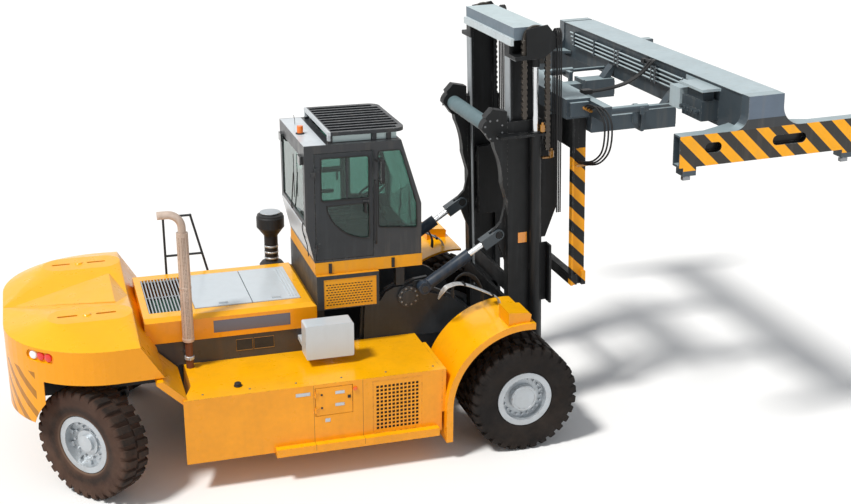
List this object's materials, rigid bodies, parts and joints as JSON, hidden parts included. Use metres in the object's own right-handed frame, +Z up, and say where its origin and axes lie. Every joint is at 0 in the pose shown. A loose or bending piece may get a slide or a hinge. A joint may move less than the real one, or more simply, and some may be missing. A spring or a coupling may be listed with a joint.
{
  "type": "laden container handler with mast and top lift spreader",
  "caption": "Heavy container handler on wheels with a tilting two stage mast, cab, counterweight and a telescopic top lift spreader with twistlocks.",
  "frame": {"origin": "on the ground under the middle of the whole machine", "axes": "+X forward towards the mast, +Y to the driver's left, +Z up"},
  "size_m": [10.7439, 6.058, 5.6481],
  "materials": {
    "body_yellow": "gloss",
    "charcoal_paint": "satin",
    "mast_paint": "satin",
    "slate_paint": "satin",
    "white_paint": "gloss",
    "silver_paint": "satin",
    "engine_paint": "satin",
    "stack_metal": "matt",
    "chrome_rod": "polished",
    "blue_black": "gloss",
    "steel": "satin",
    "tyre": "matt",
    "seat_fabric": "matt",
    "black_plastic": "matt",
    "lamp_plastic": "gloss",
    "cab_glass": "clear"
  },
  "bodies": {
    "truck": {"chassis_frame": "charcoal_paint", "front_axle": "charcoal_paint", "rear_axle": "charcoal_paint", "counterweight": "body_yellow", "engine_block": "engine_paint", "hood": "body_yellow", "hood_grille": "silver_paint", "side_tank_right": "body_yellow", "side_tank_left": "body_yellow", "fenders": "body_yellow", "exhaust_stack": "stack_metal", "air_precleaner": "black_plastic", "handrail": "charcoal_paint", "control_box": "white_paint", "cab_base": "charcoal_paint", "cab_shell": "charcoal_paint", "cab_glass": "cab_glass", "cab_roof_guard": "charcoal_paint", "driver_seat": "seat_fabric", "console": "black_plastic", "lamps": "lamp_plastic", "mirrors": "black_plastic"},
    "hood_lid_rear": {"hood_lid_rear": "white_paint"},
    "hood_lid_front": {"hood_lid_front": "white_paint"},
    "tank_door": {"tank_door": "body_yellow"},
    "cab_door_right": {"cab_door_right": "charcoal_paint"},
    "cab_door_left": {"cab_door_left": "charcoal_paint"},
    "front_wheels_right": {"front_tyres_right": "tyre", "front_rims_right": "silver_paint"},
    "front_wheels_left": {"front_tyres_left": "tyre", "front_rims_left": "silver_paint"},
    "knuckle_right": {"knuckle_right": "charcoal_paint"},
    "knuckle_left": {"knuckle_left": "charcoal_paint"},
    "rear_wheel_right": {"rear_tyre_right": "tyre", "rear_rim_right": "silver_paint"},
    "rear_wheel_left": {"rear_tyre_left": "tyre", "rear_rim_left": "silver_paint"},
    "outer_mast": {"outer_mast": "mast_paint", "lift_barrels": "mast_paint"},
    "inner_mast": {"inner_mast": "mast_paint", "lift_rods": "chrome_rod", "lift_chains": "steel", "mast_hoses": "tyre"},
    "carriage": {"carriage": "mast_paint"},
    "spreader": {"sideshift_frame": "slate_paint", "spreader_beam": "slate_paint", "spreader_hoses": "tyre"},
    "spreader_arm_right": {"spreader_arm_right": "slate_paint"},
    "spreader_arm_left": {"spreader_arm_left": "slate_paint"},
    "twistlock_right_rear": {"twistlock_right_rear": "steel"},
    "twistlock_right_front": {"twistlock_right_front": "steel"},
    "twistlock_left_rear": {"twistlock_left_rear": "steel"},
    "twistlock_left_front": {"twistlock_left_front": "steel"},
    "tilt_barrel_right": {"tilt_barrel_right": "blue_black"},
    "tilt_barrel_left": {"tilt_barrel_left": "blue_black"},
    "tilt_rod_right": {"tilt_rod_right": "chrome_rod"},
    "tilt_rod_left": {"tilt_rod_left": "chrome_rod"}
  },
  "joints": [
    {"name": "front_wheels_right_spin", "type": "hinge", "parent": "truck", "child": "front_wheels_right", "pos_m": [1.26636, -1.6, 0.75], "axis": [0, 1, 0], "continuous": true},
    {"name": "front_wheels_left_spin", "type": "hinge", "parent": "truck", "child": "front_wheels_left", "pos_m": [1.26636, 1.6, 0.75], "axis": [0, 1, 0], "continuous": true},
    {"name": "steer_right", "type": "hinge", "parent": "truck", "child": "knuckle_right", "pos_m": [-4.15364, -1.316, 0.75], "axis": [0, 0, 1], "range_deg": [-8.2, 101.8]},
    {"name": "steer_left", "type": "hinge", "parent": "truck", "child": "knuckle_left", "pos_m": [-4.15364, 1.316, 0.75], "axis": [0, 0, 1], "range_deg": [-8.2, 101.8]},
    {"name": "rear_wheel_right_spin", "type": "hinge", "parent": "knuckle_right", "child": "rear_wheel_right", "pos_m": [-4.15364, -1.316, 0.75], "axis": [0.729, 0.6845, 0], "continuous": true},
    {"name": "rear_wheel_left_spin", "type": "hinge", "parent": "knuckle_left", "child": "rear_wheel_left", "pos_m": [-4.15364, 1.316, 0.75], "axis": [0.729, 0.6845, 0], "continuous": true},
    {"name": "mast_tilt", "type": "hinge", "parent": "truck", "child": "outer_mast", "pos_m": [1.61636, 0, 0.7], "axis": [0, 1, 0], "range_deg": [-6.24, 6.76]},
    {"name": "inner_mast_lift", "type": "slide", "parent": "outer_mast", "child": "inner_mast", "axis": [-0.0307, 0, 0.9995], "range_m": [-0.85, 1.75]},
    {"name": "carriage_lift", "type": "slide", "parent": "inner_mast", "child": "carriage", "axis": [-0.0307, 0, 0.9995], "range_m": [-0.85, 1.75]},
    {"name": "spreader_sideshift", "type": "slide", "parent": "carriage", "child": "spreader", "axis": [0, 1, 0], "range_m": [-0.2, 0.2]},
    {"name": "telescope_left", "type": "slide", "parent": "spreader", "child": "spreader_arm_left", "axis": [0, 1, 0], "range_m": [0, 3.066]},
    {"name": "telescope_right", "type": "slide", "parent": "spreader", "child": "spreader_arm_right", "axis": [0, -1, 0], "range_m": [0, 3.066]},
    {"name": "tilt_barrel_right_swing", "type": "hinge", "parent": "truck", "child": "tilt_barrel_right", "pos_m": [0.20636, -0.8, 2.04], "axis": [0, 1, 0], "range_deg": [-4.03, 4.36]},
    {"name": "tilt_barrel_left_swing", "type": "hinge", "parent": "truck", "child": "tilt_barrel_left", "pos_m": [0.20636, 0.8, 2.04], "axis": [0, 1, 0], "range_deg": [-4.03, 4.36]},
    {"name": "tilt_rod_right_slide", "type": "slide", "parent": "tilt_barrel_right", "child": "tilt_rod_right", "axis": [0.8444, 0, 0.5357], "range_m": [-0.2072, 0.2243]},
    {"name": "tilt_rod_left_slide", "type": "slide", "parent": "tilt_barrel_left", "child": "tilt_rod_left", "axis": [0.8444, 0, 0.5357], "range_m": [-0.2072, 0.2243]},
    {"name": "cab_door_right_hinge", "type": "hinge", "parent": "truck", "child": "cab_door_right", "pos_m": [-1.29764, -0.8283, 3.3], "axis": [0, 0, 1], "range_deg": [-75, 0]},
    {"name": "cab_door_left_hinge", "type": "hinge", "parent": "truck", "child": "cab_door_left", "pos_m": [-1.29764, 0.8283, 3.3], "axis": [0, 0, 1], "range_deg": [0, 75]},
    {"name": "hood_lid_rear_hinge", "type": "hinge", "parent": "truck", "child": "hood_lid_rear", "pos_m": [-2.54364, 0.634, 2.022], "axis": [1, 0, 0], "range_deg": [-70, 0]},
    {"name": "hood_lid_front_hinge", "type": "hinge", "parent": "truck", "child": "hood_lid_front", "pos_m": [-1.82364, 0.634, 2.022], "axis": [1, 0, 0], "range_deg": [-70, 0]},
    {"name": "tank_door_hinge", "type": "hinge", "parent": "truck", "child": "tank_door", "pos_m": [-1.60764, -1.9893, 1.07], "axis": [0, 0, 1], "range_deg": [-95, 0]},
    {"name": "twistlock_right_rear_turn", "type": "hinge", "parent": "spreader_arm_right", "child": "twistlock_right_rear", "pos_m": [2.97028, -2.9265, 4.02815], "axis": [-0.0307, 0, 0.9995], "range_deg": [0, 90]},
    {"name": "twistlock_right_front_turn", "type": "hinge", "parent": "spreader_arm_right", "child": "twistlock_right_front", "pos_m": [5.22821, -2.9265, 4.09753], "axis": [-0.0307, 0, 0.9995], "range_deg": [0, 90]},
    {"name": "twistlock_left_rear_turn", "type": "hinge", "parent": "spreader_arm_left", "child": "twistlock_left_rear", "pos_m": [2.97028, 2.9265, 4.02815], "axis": [-0.0307, 0, 0.9995], "range_deg": [0, 90]},
    {"name": "twistlock_left_front_turn", "type": "hinge", "parent": "spreader_arm_left", "child": "twistlock_left_front", "pos_m": [5.22821, 2.9265, 4.09753], "axis": [-0.0307, 0, 0.9995], "range_deg": [0, 90]}
  ],
  "couplings": [
    {"joint": "steer_left", "follows": "steer_right", "ratio": 1},
    {"joint": "carriage_lift", "follows": "inner_mast_lift", "ratio": 1},
    {"joint": "telescope_right", "follows": "telescope_left", "ratio": 1},
    {"joint": "tilt_barrel_right_swing", "follows": "mast_tilt", "ratio": 0.62994},
    {"joint": "tilt_barrel_left_swing", "follows": "mast_tilt", "ratio": 0.62994},
    {"joint": "tilt_rod_right_slide", "follows": "mast_tilt", "m_per_rad": 1.8843},
    {"joint": "tilt_rod_left_slide", "follows": "mast_tilt", "m_per_rad": 1.8843}
  ]
}
